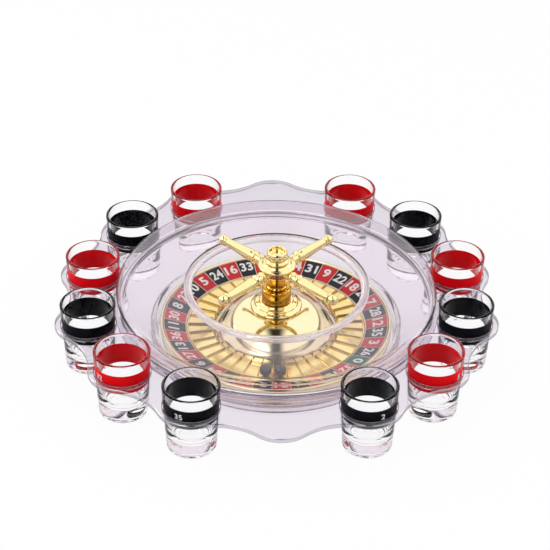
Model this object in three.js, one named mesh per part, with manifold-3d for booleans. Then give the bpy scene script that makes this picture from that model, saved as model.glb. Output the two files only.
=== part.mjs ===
// Tabletop roulette wheel with a scalloped tray of twelve shot glasses.
// Millimetres, +Z up, origin on the table under the wheel's axis, -Y towards the player.

import * as THREE from 'three';
import * as BufferGeometryUtils from 'three/addons/utils/BufferGeometryUtils.js';
import Module from 'manifold-3d';

const wasm = await Module();
wasm.setup();

// ---- driving dimensions ----

// clearances
const SEAT_GAP = 0.3;          // between pieces that rest on each other
const GLASS_CLEARANCE = 0.6;   // round each glass in its tray hole
const RUNNING_GAP = 0.35;      // between the spindle and its bush
const FIT_GAP = 0.4;           // between fixed pieces that slide together

// layout round the tray
const PLACES = 14;             // equal places: twelve glasses and two plain grip lobes
const PLACE_RADIUS = 127;      // circle that the glass centres stand on

// shot glass
const GLASS_HEIGHT = 47.5;
const GLASS_RIM_RADIUS = 18.3;
const GLASS_BASE_RADIUS = 15.75;
const GLASS_WALL = 1.9;
const GLASS_FLOOR = 6.4;       // solid glass under the inside floor
const GLASS_ROUND = 0.8;       // softened lower edge
const GLASS_SIDES = 16;

// tray
const TRAY_TOP = 32.3;
const TRAY_THICKNESS = 3.4;
const LOBE_MARGIN = 3.9;       // plastic outside the glass rim in each lobe
const VALLEY_FILLET = 38.3;    // hollow curve between two lobes

// bowl
const BOWL_SIDES = 40;
const SHELL = 2.4;             // wall of the bowl and cover
const LEDGE_MARGIN = 0.5;      // between the bowl's ledge under the tray and the glass holes
const FOOT_WALL = 3.4;         // the foot ring is the lower edge of the well's wall
const FLOOR_BOTTOM = 2.0;
const FLOOR_TOP = 4.0;
const BOSS_RADIUS = 8.2;
const BOSS_TOP = 7.6;

// cover
const COVER_GAP = 1.9;         // from the cover to the rims of the glasses
const COVER_SKIRT = 6.3;       // upright part, from the tray to where the shoulder turns in
const COVER_HEIGHT = 10.7;     // from the tray's top to the cover's top
const OPENING_RADIUS = 56.4;
const BEAD_RADIUS = 2.8;        // rolled edge of the opening

// rotor
const POCKETS = 37;
const ROTOR_YAW = THREE.MathUtils.degToRad(-3.2);
const ROTOR_RADIUS = 78.1;
const ROTOR_CLEARANCE = 2.7;   // gap from the rotor's rim to the bowl's well
const ROTOR_UNDERSIDE = 5.4;
const ROTOR_FLOOR = 7.0;       // top of the rotor's web
const ROTOR_RIM_TOP = 14.0;
const ROTOR_RIM_WIDTH = 2.4;
const HUB_RADIUS = 9.0;        // tube that carries the bush and the turret
const HUB_TOP = 29.4;

// number ring, fret ring and cone
const RING_THICKNESS = 0.9;
const RING_OUTER_TOP = 13.3;
const RING_INNER_TOP = 8.9;
const FRET_RING_OUTER = 60.0;
const FRET_PLATE = 1.0;
const FRET_HEIGHT = 1.4;
const FRET_THICKNESS = 0.6;
const CONE_RADIUS = 42.6;
const CONE_DRUM = 3.6;         // upright edge at the foot of the cone
const CONE_TOP = 25.4;
const CONE_TOP_RADIUS = 17.6;
const CONE_SHELL = 1.6;
const CONE_CROWN = 3.2;        // how far the slope bulges above a straight line

// spindle, bush and screws
const SPINDLE_RADIUS = 3.0;
const SPINDLE_TOP = 34.6;
const SPINDLE_HEAD_RADIUS = 7.0;
const SPINDLE_HEAD = 1.2;
const BUSH_WALL = 2.1;
const WASHER_THICKNESS = 0.8;
const NUT_HEIGHT = 3.0;
const NUT_RADIUS = 5.6;
const SCREW_COUNT = 3;
const SCREW_CIRCLE = 28;
const SCREW_RADIUS = 1.4;
const SCREW_HEAD_RADIUS = 2.8;
const SCREW_HEAD = 0.7;
const SCREW_LENGTH = 7.5;
const SCREW_BOSS_RADIUS = 3.4;

// turret
const FLANGE_RADIUS = 17.4;
const FLANGE_STEP_RADIUS = 14.2;
const FLANGE_HEIGHT = 5.0;
const COLUMN_MARGIN = 0.8;     // column radius outside the rotor's hub
const COLUMN_HEIGHT = 9.9;
const NECK_RADIUS = 6.1;
const NECK_HEIGHT = 9.0;
const COLLAR_DISC_RADIUS = 12.6;
const TURRET_HUB_HEIGHT = 10.4;
const FINIAL_RADIUS = 7.2;
const FINIAL_HEIGHT = 8.2;
const FINIAL_RECESS = 3.0;
const STUD_RADIUS = 2.2;

// spinner arms
const ARMS = 4;
const ARM_TIP_RADIUS = 53.6;   // from the axis to the end of the ball
const ARM_SHANK_RADIUS = 3.0;
const ARM_BEAD_RADIUS = 4.4;
const ARM_BODY_RADIUS = 4.3;
const ARM_WAIST_RADIUS = 2.7;
const ARM_BALL_RADIUS = 3.7;

// steel balls
const BALL_RADIUS = 4.0;
const BALL_INSET = 3.7;        // from the pockets' outer edge to the middle of a resting ball

// ---- geometry helpers ----

// leaves only shared corner points, without the flat triangles at a lathe's poles
function weld(geometry) {
  const bare = geometry.index ? geometry.toNonIndexed() : geometry.clone();
  bare.deleteAttribute('normal');
  bare.deleteAttribute('uv');
  const merged = BufferGeometryUtils.mergeVertices(bare, 1e-4);
  const index = merged.index.array;
  const kept = [];
  for (let i = 0; i < index.length; i += 3) {
    const [a, b, c] = [index[i], index[i + 1], index[i + 2]];
    if (a !== b && b !== c && c !== a) kept.push(a, b, c);
  }
  merged.setIndex(kept);
  return merged;
}

// turns a profile of [radius, height] points about +Z; it runs anticlockwise in that plane
function turned(profile, sides) {
  const points = profile.map(([r, z]) => new THREE.Vector2(r, z));
  const lathe = new THREE.LatheGeometry(points, sides);
  lathe.rotateX(Math.PI / 2);
  return weld(lathe);
}

// closes a profile on itself
function ring(profile) {
  return [...profile, profile[0]];
}

function solidOf(geometry) {
  const welded = weld(geometry);
  const vertProperties = new Float32Array(welded.attributes.position.array);
  const triVerts = new Uint32Array(welded.index.array);
  return new wasm.Manifold(new wasm.Mesh({ numProp: 3, vertProperties, triVerts }));
}

function geometryOf(solid) {
  const mesh = solid.getMesh();
  const geometry = new THREE.BufferGeometry();
  geometry.setAttribute('position', new THREE.BufferAttribute(new Float32Array(mesh.vertProperties), 3));
  geometry.setIndex(new THREE.BufferAttribute(new Uint32Array(mesh.triVerts), 1));
  return geometry;
}

// upright cylinder from one height to another, at a point of the plan
function post(radius, low, high, x = 0, y = 0, sides = 12) {
  const cylinder = new THREE.CylinderGeometry(radius, radius, high - low, sides);
  cylinder.rotateX(Math.PI / 2);
  cylinder.translate(x, y, (low + high) / 2);
  return cylinder;
}

function onCircle(radius, angle) {
  return [radius * Math.cos(angle), radius * Math.sin(angle)];
}

function arcPoints(cx, cy, radius, from, to, steps) {
  const points = [];
  for (let i = 0; i < steps; i += 1) {
    const [x, y] = onCircle(radius, from + ((to - from) * i) / steps);
    points.push(new THREE.Vector2(cx + x, cy + y));
  }
  return points;
}

// ---- materials ----

function plastic(color, roughness = 0.1) {
  return new THREE.MeshStandardMaterial({ color, roughness, metalness: 0, transparent: true, opacity: 0.35 });
}

const clearPlastic = plastic(0xe6dfec);
const clearGlass = plastic(0xe9edf2, 0.03);
const gold = new THREE.MeshStandardMaterial({ color: 0xd9b45a, roughness: 0.18, metalness: 1 });
const printed = new THREE.MeshStandardMaterial({ color: 0xa5232b, roughness: 0.45, metalness: 0 });
const steel = new THREE.MeshStandardMaterial({ color: 0x8c8c92, roughness: 0.12, metalness: 1 });
const bronze = new THREE.MeshStandardMaterial({ color: 0xa9793f, roughness: 0.4, metalness: 1 });

const model = new THREE.Group();

function add(name, geometry, material, parent = model) {
  const mesh = new THREE.Mesh(geometry, material);
  mesh.name = name;
  parent.add(mesh);
  return mesh;
}

// ---- tray ----

const placeStep = (2 * Math.PI) / PLACES;
const grips = [0, PLACES / 2];
const placeAngle = (place) => -Math.PI / 2 + place * placeStep;

const glassSlope = (GLASS_RIM_RADIUS - GLASS_BASE_RADIUS) / (GLASS_HEIGHT - 2 * GLASS_ROUND);
const glassRadiusAt = (z) => GLASS_BASE_RADIUS + glassSlope * (z - GLASS_ROUND);
const trayHole = glassRadiusAt(TRAY_TOP) + GLASS_CLEARANCE;
const trayBottom = TRAY_TOP - TRAY_THICKNESS;
const coverRadius = PLACE_RADIUS - GLASS_RIM_RADIUS - COVER_GAP;
const collarRadius = coverRadius - SHELL + 0.2;
const trayCentreHole = collarRadius + FIT_GAP;

// a lobe round each place, joined to the next by a hollow fillet that touches both
function trayOutline() {
  const lobe = GLASS_RIM_RADIUS + LOBE_MARGIN;
  const reach = lobe + VALLEY_FILLET;
  const half = placeStep / 2;
  const side = PLACE_RADIUS * Math.sin(half);
  const filletCentre = PLACE_RADIUS * Math.cos(half) + Math.sqrt(reach ** 2 - side ** 2);
  const points = [];
  for (let place = 0; place < PLACES; place += 1) {
    const angle = placeAngle(place);
    const [x, y] = onCircle(PLACE_RADIUS, angle);
    const [fx, fy] = onCircle(filletCentre, angle + half);
    const toFillet = Math.atan2(fy - y, fx - x) - angle;
    const swing = Math.atan2(Math.sin(toFillet), Math.cos(toFillet));
    points.push(...arcPoints(x, y, lobe, angle - swing, angle + swing, 8));
    const start = angle + swing + Math.PI;
    points.push(...arcPoints(fx, fy, VALLEY_FILLET, start, start + 2 * (half - swing), 4));
  }
  return points;
}

function tray() {
  const shape = new THREE.Shape(trayOutline());
  const centre = arcPoints(0, 0, trayCentreHole, -Math.PI / 2, 1.5 * Math.PI, BOWL_SIDES);
  shape.holes.push(new THREE.Path(centre));
  for (let place = 0; place < PLACES; place += 1) {
    if (grips.includes(place)) continue;
    const angle = placeAngle(place);
    const [x, y] = onCircle(PLACE_RADIUS, angle);
    shape.holes.push(new THREE.Path(arcPoints(x, y, trayHole, angle, angle + 2 * Math.PI, GLASS_SIDES)));
  }
  const plate = new THREE.ExtrudeGeometry(shape, { depth: TRAY_THICKNESS, bevelEnabled: false });
  plate.translate(0, 0, trayBottom);
  return weld(plate);
}

add('tray', tray(), clearPlastic);

// ---- bowl: foot, spindle boss, well, sloping ball track, ledge and collar ----

const flangeTop = trayBottom - SEAT_GAP;
const flangeBottom = flangeTop - SHELL - 0.3;
const wellRadius = ROTOR_RADIUS + ROTOR_CLEARANCE;
const footRadius = wellRadius + FOOT_WALL;
const trackFoot = ROTOR_RIM_TOP + 0.9;
const spindleBore = SPINDLE_RADIUS + FIT_GAP;

function bowl() {
  const ledge = PLACE_RADIUS - trayHole - LEDGE_MARGIN;
  const collarTop = TRAY_TOP - 0.1;
  const trackHead = [collarRadius - 2.6, collarTop - 1.8];
  const trackDrop = trackHead[1] - trackFoot;
  const trackWidth = trackHead[0] - wellRadius - 1;
  const track = (t) => [wellRadius + 1 + trackWidth * t, trackFoot + trackDrop * (0.8 * t + 0.2 * t * t)];
  const under = (t) => [track(t)[0] + 0.65 * SHELL, track(t)[1] - 0.85 * SHELL];
  return turned(ring([
    [spindleBore, FLOOR_BOTTOM],
    [wellRadius - 1, FLOOR_BOTTOM],
    [wellRadius - 0.2, 0],
    [footRadius, 0],
    [footRadius, trackFoot - 1.6],
    under(0.5),
    [collarRadius - 0.4, flangeBottom],
    [ledge, flangeBottom],
    [ledge, flangeTop],
    [collarRadius, flangeTop],
    [collarRadius, collarTop],
    [collarRadius - 1.4, collarTop],
    trackHead,
    track(0.5),
    track(0),
    [wellRadius, trackFoot - 1.6],
    [wellRadius - 0.6, FLOOR_TOP],
    [BOSS_RADIUS, FLOOR_TOP],
    [BOSS_RADIUS - 0.5, BOSS_TOP],
    [spindleBore, BOSS_TOP],
  ]), BOWL_SIDES);
}

add('bowl', bowl(), clearPlastic);

// ---- cover: a ring-shaped dome with a beaded opening over the turret ----

function cover() {
  const foot = TRAY_TOP + SEAT_GAP;
  const inner = collarRadius;
  const top = TRAY_TOP + COVER_HEIGHT;
  const shoulder = TRAY_TOP + COVER_SKIRT;
  const turnIn = top - shoulder;
  const beadR = OPENING_RADIUS + BEAD_RADIUS;
  const beadZ = top - BEAD_RADIUS;
  return turned(ring([
    [inner, foot],
    [coverRadius, foot],
    [coverRadius, shoulder],
    [coverRadius - 0.3 * turnIn, shoulder + 0.66 * turnIn],
    [coverRadius - 1.2 * turnIn, shoulder + 0.95 * turnIn],
    [coverRadius - 4 * turnIn, top],
    [beadR + BEAD_RADIUS + 0.8, top],
    [beadR + 0.92 * BEAD_RADIUS, top - 0.5],
    [beadR + 0.5 * BEAD_RADIUS, top - 0.15],
    [beadR - 0.4 * BEAD_RADIUS, top],
    [OPENING_RADIUS, beadZ + 0.4 * BEAD_RADIUS],
    [OPENING_RADIUS, beadZ - 0.4 * BEAD_RADIUS],
    [beadR - 0.4 * BEAD_RADIUS, beadZ - BEAD_RADIUS],
    [beadR + 0.4 * BEAD_RADIUS, beadZ - BEAD_RADIUS],
    [beadR + 0.92 * BEAD_RADIUS, top - SHELL],
    [coverRadius - 4 * turnIn, top - SHELL],
    [inner - 0.9 * turnIn, shoulder + 0.92 * turnIn - SHELL],
    [inner, shoulder - 0.6],
  ]), BOWL_SIDES);
}

add('cover', cover(), clearPlastic);

// ---- rotor: base, number ring, fret ring and cone, all turned a little about the axis ----

const rotor = new THREE.Group();
rotor.rotation.z = ROTOR_YAW;
model.add(rotor);

const columnRadius = HUB_RADIUS + COLUMN_MARGIN;
const bushOuter = SPINDLE_RADIUS + RUNNING_GAP + BUSH_WALL;
const hubBore = bushOuter + FIT_GAP;
const washerBottom = BOSS_TOP + SEAT_GAP;
const washerTop = washerBottom + WASHER_THICKNESS;
const bushBottom = washerTop + SEAT_GAP;
const ringOuter = ROTOR_RADIUS - ROTOR_RIM_WIDTH;
const ringInner = FRET_RING_OUTER + SEAT_GAP;
const seatDrop = RING_THICKNESS + SEAT_GAP;
const screwAngle = (i) => Math.PI / 6 + (i * 2 * Math.PI) / SCREW_COUNT;

function rotorBase() {
  const body = solidOf(turned(ring([
    [hubBore, bushBottom],
    [HUB_RADIUS + 1.4, bushBottom],
    [HUB_RADIUS + 3.0, ROTOR_UNDERSIDE],
    [ROTOR_RADIUS - 1.4, ROTOR_UNDERSIDE],
    [ROTOR_RADIUS, ROTOR_UNDERSIDE + 1.4],
    [ROTOR_RADIUS, ROTOR_RIM_TOP - 0.7],
    [ROTOR_RADIUS - 0.7, ROTOR_RIM_TOP],
    [ringOuter + 0.9, ROTOR_RIM_TOP],
    [ringOuter + SEAT_GAP, RING_OUTER_TOP],
    [ringOuter + SEAT_GAP, RING_OUTER_TOP - seatDrop],
    [ringInner, RING_INNER_TOP - seatDrop],
    [ringInner - 0.2, ROTOR_FLOOR],
    [HUB_RADIUS + 3.6, ROTOR_FLOOR],
    [HUB_RADIUS, bushBottom + 2.0],
    [HUB_RADIUS, HUB_TOP],
    [hubBore, HUB_TOP],
  ]), POCKETS));
  let holes = null;
  for (let i = 0; i < SCREW_COUNT; i += 1) {
    const [x, y] = onCircle(SCREW_CIRCLE, screwAngle(i));
    const shank = solidOf(post(SCREW_RADIUS + FIT_GAP, 0, ROTOR_FLOOR + 1, x, y));
    const head = solidOf(post(SCREW_HEAD_RADIUS + FIT_GAP, 0, ROTOR_UNDERSIDE + SCREW_HEAD + 0.2, x, y));
    const hole = shank.add(head);
    holes = holes ? holes.add(hole) : hole;
  }
  return geometryOf(body.subtract(holes));
}

function numberRing() {
  return turned(ring([
    [ringInner + 0.2, RING_INNER_TOP - RING_THICKNESS],
    [ringOuter, RING_OUTER_TOP - RING_THICKNESS],
    [ringOuter, RING_OUTER_TOP],
    [ringInner + 0.2, RING_INNER_TOP],
  ]), POCKETS);
}

function fretRing() {
  const low = ROTOR_FLOOR + SEAT_GAP;
  const plateInner = CONE_RADIUS + SEAT_GAP;
  const plateTop = low + FRET_PLATE;
  const plate = solidOf(turned(ring([
    [plateInner, low],
    [FRET_RING_OUTER - SEAT_GAP, low],
    [FRET_RING_OUTER - SEAT_GAP, plateTop],
    [plateInner, plateTop],
  ]), POCKETS));
  const length = FRET_RING_OUTER - plateInner - 1.4;
  const frets = [];
  for (let i = 0; i < POCKETS; i += 1) {
    const fret = new THREE.BoxGeometry(length, FRET_THICKNESS, FRET_HEIGHT + FRET_PLATE / 2);
    fret.translate(plateInner + 0.4 + length / 2, 0, plateTop + (FRET_HEIGHT - FRET_PLATE / 2) / 2);
    fret.rotateZ(-Math.PI / 2 + (i * 2 * Math.PI) / POCKETS);
    frets.push(fret);
  }
  return geometryOf(plate.add(solidOf(BufferGeometryUtils.mergeGeometries(frets))));
}

// height of the cone's outer face at a share t of the way in from the drum
const coneFoot = ROTOR_FLOOR + SEAT_GAP;
const coneSlope = (t) => [
  CONE_RADIUS - 0.6 + (CONE_TOP_RADIUS - CONE_RADIUS + 0.6) * t,
  coneFoot + CONE_DRUM + 0.4 + (CONE_TOP - coneFoot - CONE_DRUM - 0.4) * t + CONE_CROWN * Math.sin(Math.PI * t),
];

function cone() {
  const bore = HUB_RADIUS + FIT_GAP;
  const outside = [0, 0.25, 0.5, 0.75, 1].map(coneSlope);
  const inside = [1, 0.5, 0].map(coneSlope).map(([r, z]) => [r - 0.75 * CONE_SHELL, z - CONE_SHELL]);
  const shell = solidOf(turned(ring([
    [CONE_RADIUS - CONE_SHELL, coneFoot],
    [CONE_RADIUS, coneFoot],
    [CONE_RADIUS, coneFoot + CONE_DRUM],
    ...outside,
    [bore, CONE_TOP],
    [bore, CONE_TOP - CONE_SHELL],
    ...inside,
  ]), POCKETS));
  const share = (CONE_RADIUS - SCREW_CIRCLE) / (CONE_RADIUS - CONE_TOP_RADIUS);
  const bossTop = coneSlope(share)[1] - 0.7 * CONE_SHELL - 1.2;
  let result = shell;
  for (let i = 0; i < SCREW_COUNT; i += 1) {
    const [x, y] = onCircle(SCREW_CIRCLE, screwAngle(i));
    const boss = solidOf(post(SCREW_BOSS_RADIUS, coneFoot, bossTop, x, y));
    const pilotTop = ROTOR_UNDERSIDE + SCREW_HEAD + SCREW_LENGTH + FIT_GAP;
    const pilot = solidOf(post(SCREW_RADIUS + FIT_GAP, 0, pilotTop, x, y));
    result = result.add(boss).subtract(pilot);
  }
  return geometryOf(result);
}

function rotorScrew(x, y) {
  const head = ROTOR_UNDERSIDE + SCREW_HEAD - 0.1;
  const screw = turned([
    [0, head - SCREW_HEAD],
    [SCREW_HEAD_RADIUS, head - SCREW_HEAD],
    [SCREW_HEAD_RADIUS, head],
    [SCREW_RADIUS, head],
    [SCREW_RADIUS, head + SCREW_LENGTH - 1],
    [0, head + SCREW_LENGTH],
  ], 12);
  screw.translate(x, y, 0);
  return screw;
}

add('rotor_base', rotorBase(), gold, rotor);
add('number_ring', numberRing(), printed, rotor);
add('fret_ring', fretRing(), gold, rotor);
add('cone', cone(), gold, rotor);
for (let i = 0; i < SCREW_COUNT; i += 1) {
  const [x, y] = onCircle(SCREW_CIRCLE, screwAngle(i));
  add(`rotor_screw_${i + 1}`, rotorScrew(x, y), steel, rotor);
}

// ---- spindle, washer, bush and nut ----

const SMALL_SIDES = 20;

function spindle() {
  const headTop = FLOOR_BOTTOM - SEAT_GAP;
  return turned([
    [0, headTop - SPINDLE_HEAD],
    [SPINDLE_HEAD_RADIUS, headTop - SPINDLE_HEAD],
    [SPINDLE_HEAD_RADIUS, headTop],
    [SPINDLE_RADIUS, headTop],
    [SPINDLE_RADIUS, SPINDLE_TOP - 0.6],
    [SPINDLE_RADIUS - 0.6, SPINDLE_TOP],
    [0, SPINDLE_TOP],
  ], SMALL_SIDES);
}

function sleeve(inner, outer, low, high) {
  return turned(ring([[inner, low], [outer, low], [outer, high], [inner, high]]), SMALL_SIDES);
}

function hexNut(bore, corner, low, high) {
  const shape = new THREE.Shape(arcPoints(0, 0, corner, 0, 2 * Math.PI, 6));
  shape.holes.push(new THREE.Path(arcPoints(0, 0, bore, 0, 2 * Math.PI, SMALL_SIDES)));
  const nut = new THREE.ExtrudeGeometry(shape, { depth: high - low, bevelEnabled: false });
  nut.translate(0, 0, low);
  return weld(nut);
}

const bushTop = HUB_TOP + 0.3;
const nutBottom = bushTop + SEAT_GAP;
add('spindle', spindle(), steel);
add('thrust_washer', sleeve(spindleBore, BOSS_RADIUS - 0.8, washerBottom, washerTop), steel);
add('spindle_bush', sleeve(SPINDLE_RADIUS + RUNNING_GAP, bushOuter, bushBottom, bushTop), bronze);
add('spindle_nut', hexNut(SPINDLE_RADIUS + RUNNING_GAP, NUT_RADIUS, nutBottom, nutBottom + NUT_HEIGHT), steel);

// ---- turret: flange, column, neck, hub, finial, and the stud that clamps them ----

const flangeLow = CONE_TOP + SEAT_GAP;
const flangeHigh = flangeLow + FLANGE_HEIGHT;
const columnLow = flangeHigh + SEAT_GAP;
const columnHigh = columnLow + COLUMN_HEIGHT;
const neckLow = columnHigh + SEAT_GAP;
const neckHigh = neckLow + NECK_HEIGHT;
const hubLow = neckHigh + SEAT_GAP;
const hubHigh = hubLow + TURRET_HUB_HEIGHT;
const finialLow = hubHigh + SEAT_GAP;
const finialHigh = finialLow + FINIAL_HEIGHT;
const studBore = STUD_RADIUS + FIT_GAP;
const armHeight = hubLow + 4.2;

function turretFlange() {
  const bore = HUB_RADIUS + FIT_GAP;
  return turned(ring([
    [bore, flangeLow],
    [FLANGE_RADIUS - 0.6, flangeLow],
    [FLANGE_RADIUS, flangeLow + 0.7],
    [FLANGE_RADIUS - 0.5, flangeLow + 1.5],
    [FLANGE_STEP_RADIUS + 0.4, flangeLow + 2.5],
    [FLANGE_STEP_RADIUS, flangeLow + 3.3],
    [columnRadius + 1.8, flangeLow + 4.2],
    [columnRadius + 1.2, flangeHigh],
    [bore, flangeHigh],
  ]), SMALL_SIDES);
}

function turretColumn() {
  const cavity = NUT_RADIUS + 1.2;
  const cavityTop = SPINDLE_TOP + 1;
  return turned(ring([
    [cavity, columnLow],
    [columnRadius - 0.3, columnLow],
    [columnRadius, columnLow + 0.6],
    [columnRadius, columnHigh - 0.8],
    [columnRadius - 0.8, columnHigh],
    [studBore, columnHigh],
    [studBore, cavityTop],
    [cavity, cavityTop],
  ]), SMALL_SIDES);
}

function turretNeck() {
  return turned(ring([
    [studBore, neckLow],
    [NECK_RADIUS + 0.9, neckLow],
    [NECK_RADIUS + 0.9, neckLow + 0.8],
    [NECK_RADIUS, neckLow + 1.6],
    [NECK_RADIUS, neckHigh - 1.0],
    [NECK_RADIUS + 1.2, neckHigh],
    [studBore, neckHigh],
  ]), SMALL_SIDES);
}

function turretHub() {
  let body = solidOf(turned(ring([
    [studBore, hubLow],
    [NECK_RADIUS + 2.2, hubLow],
    [COLLAR_DISC_RADIUS - 3.4, hubLow + 1.2],
    [COLLAR_DISC_RADIUS - 3.4, hubLow + 6.9],
    [COLLAR_DISC_RADIUS, hubLow + 7.3],
    [COLLAR_DISC_RADIUS, hubLow + 8.5],
    [FINIAL_RADIUS + 2.6, hubLow + 9.3],
    [FINIAL_RADIUS + 1.6, hubHigh],
    [studBore, hubHigh],
  ]), SMALL_SIDES));
  for (let i = 0; i < ARMS; i += 1) {
    const depth = COLLAR_DISC_RADIUS + 1 - armSocketFloor;
    const bore = ARM_SHANK_RADIUS + FIT_GAP;
    const socket = new THREE.CylinderGeometry(bore, bore, depth, 12);
    socket.rotateZ(-Math.PI / 2);
    socket.translate(armSocketFloor + depth / 2, 0, armHeight);
    socket.rotateZ(Math.PI / 4 + (i * Math.PI) / 2);
    body = body.subtract(solidOf(socket));
  }
  return geometryOf(body);
}

function finial() {
  const r = FINIAL_RADIUS;
  return turned([
    [0, studTop + 0.4],
    [studBore, studTop + 0.4],
    [studBore, finialLow],
    [r + 0.5, finialLow],
    [r + 0.6, finialLow + 1.2],
    [r - 0.9, finialLow + 2.2],
    [r - 0.1, finialLow + 3.6],
    [r, finialLow + 5.2],
    [r - 0.4, finialHigh - 1.0],
    [r - 1.2, finialHigh],
    [r - 1.9, finialHigh],
    [r - 2.4, finialHigh - FINIAL_RECESS + 0.5],
    [r - 3.2, finialHigh - FINIAL_RECESS],
    [0, finialHigh - FINIAL_RECESS],
  ], SMALL_SIDES);
}

// an arm is turned along its own axis: shank, two beads, ring, tapering body, ring and ball
const armSocketFloor = 4.6;
const studTop = finialLow + 3.0;

function spinnerArm() {
  const start = armSocketFloor + SEAT_GAP;
  const hubFace = COLLAR_DISC_RADIUS + SEAT_GAP;
  const tip = ARM_TIP_RADIUS;
  const ballMiddle = tip - ARM_BALL_RADIUS;
  const profile = [
    [0, start],
    [ARM_SHANK_RADIUS, start],
    [ARM_SHANK_RADIUS, hubFace],
    [ARM_BEAD_RADIUS - 0.7, hubFace + 0.2],
    [ARM_BEAD_RADIUS - 0.4, hubFace + 1.4],
    [ARM_BEAD_RADIUS - 1.1, hubFace + 2.6],
    [ARM_BEAD_RADIUS - 0.6, hubFace + 3.9],
    [ARM_BEAD_RADIUS - 1.1, hubFace + 5.2],
    [ARM_BEAD_RADIUS, hubFace + 6.2],
    [ARM_BEAD_RADIUS, hubFace + 7.8],
    [ARM_BODY_RADIUS - 0.9, hubFace + 9.0],
    [ARM_BODY_RADIUS - 0.2, hubFace + 10.6],
    [ARM_WAIST_RADIUS, ballMiddle - 4.2],
    [ARM_BALL_RADIUS - 0.2, ballMiddle - 2.6],
    [ARM_BALL_RADIUS, ballMiddle - 0.6],
    [0.75 * ARM_BALL_RADIUS, tip - 1.2],
    [0, tip],
  ];
  const arm = turned(profile, 10);
  arm.rotateY(Math.PI / 2);
  return arm;
}

function turretStud() {
  return turned([
    [0, SPINDLE_TOP + 2],
    [STUD_RADIUS, SPINDLE_TOP + 2],
    [STUD_RADIUS, studTop],
    [0, studTop],
  ], 12);
}

add('turret_flange', turretFlange(), gold);
add('turret_column', turretColumn(), gold);
add('turret_neck', turretNeck(), gold);
add('turret_hub', turretHub(), gold);
add('turret_stud', turretStud(), steel);
add('finial', finial(), gold);
for (let i = 0; i < ARMS; i += 1) {
  const arm = add(`spinner_arm_${i + 1}`, spinnerArm(), gold);
  arm.position.z = armHeight;
  arm.rotation.z = Math.PI / 4 + (i * Math.PI) / 2;
}

// ---- steel balls, one in each of the two pockets nearest the player ----

function ball() {
  const sphere = new THREE.SphereGeometry(BALL_RADIUS, 14, 8);
  sphere.rotateX(Math.PI / 2);
  return weld(sphere);
}

const ballHeight = ROTOR_FLOOR + SEAT_GAP + FRET_PLATE + SEAT_GAP + BALL_RADIUS;
[-1, 1].forEach((side, i) => {
  const angle = -Math.PI / 2 + (side * Math.PI) / POCKETS;
  const [x, y] = onCircle(FRET_RING_OUTER - BALL_INSET, angle);
  add(`ball_${i + 1}`, ball(), steel, rotor).position.set(x, y, ballHeight);
});

// ---- shot glasses, standing on the table through the tray ----

function shotGlass() {
  const inner = GLASS_WALL;
  const low = GLASS_FLOOR;
  const at = (z) => glassRadiusAt(z) - inner;
  return turned([
    [0, 0],
    [GLASS_BASE_RADIUS - GLASS_ROUND, 0],
    [GLASS_BASE_RADIUS, GLASS_ROUND],
    [GLASS_RIM_RADIUS, GLASS_HEIGHT - GLASS_ROUND],
    [GLASS_RIM_RADIUS - 0.45, GLASS_HEIGHT],
    [GLASS_RIM_RADIUS - inner + 0.45, GLASS_HEIGHT],
    [at(GLASS_HEIGHT - GLASS_ROUND), GLASS_HEIGHT - GLASS_ROUND],
    [at(low + 6), low + 6],
    [at(low + 1.6) - 2.0, low + 1.6],
    [0.6 * at(low), low],
    [0, low],
  ], GLASS_SIDES);
}

let glassNumber = 0;
for (let place = 0; place < PLACES; place += 1) {
  if (grips.includes(place)) continue;
  glassNumber += 1;
  const angle = placeAngle(place);
  const glass = add(`glass_${String(glassNumber).padStart(2, '0')}`, shotGlass(), clearGlass);
  const [x, y] = onCircle(PLACE_RADIUS, angle);
  glass.position.set(x, y, 0);
  glass.rotation.z = angle + Math.PI / 2;
}

export default model;
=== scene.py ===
"""Tabletop roulette wheel in a clear tray with twelve shot glasses. Metres, +Z up."""

import math

import bmesh
import bpy
import numpy as np
from mathutils import Matrix, Vector


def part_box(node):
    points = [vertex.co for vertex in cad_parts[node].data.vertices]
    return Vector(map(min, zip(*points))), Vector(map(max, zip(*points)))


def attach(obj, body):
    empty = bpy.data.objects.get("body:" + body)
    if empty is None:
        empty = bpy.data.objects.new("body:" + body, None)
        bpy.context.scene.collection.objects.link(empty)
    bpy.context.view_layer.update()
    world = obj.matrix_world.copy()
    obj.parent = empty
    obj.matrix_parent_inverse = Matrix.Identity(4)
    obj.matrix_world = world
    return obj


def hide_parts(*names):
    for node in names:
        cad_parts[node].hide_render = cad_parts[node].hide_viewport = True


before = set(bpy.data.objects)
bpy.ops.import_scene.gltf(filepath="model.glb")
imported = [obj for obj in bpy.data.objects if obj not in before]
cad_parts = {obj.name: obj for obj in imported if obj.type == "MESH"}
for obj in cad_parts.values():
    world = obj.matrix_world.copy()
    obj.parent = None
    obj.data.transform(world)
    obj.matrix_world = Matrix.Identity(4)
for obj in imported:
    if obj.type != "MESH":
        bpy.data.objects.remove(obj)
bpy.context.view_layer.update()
MM = 0.001


# ---- the view: down onto the table from in front, a little over thirty degrees above it ----
# A long lens on a level tripod, turned a degree about its own line of sight.

WHEEL_PLACES_RADIUS = 0.127  # the circle that the glasses stand on
EYE_DISTANCE = 9.7505 * WHEEL_PLACES_RADIUS
EYE_ELEVATION = 0.6030
EYE_AZIMUTH = -0.03093
EYE_ROLL = 0.01802
LOOK_AT = Vector((-0.0091, 0, 0.3941)) * WHEEL_PLACES_RADIUS
SENSOR = 36.0
LENS = 122.0
FARTHEST_SEEN = 20


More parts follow.
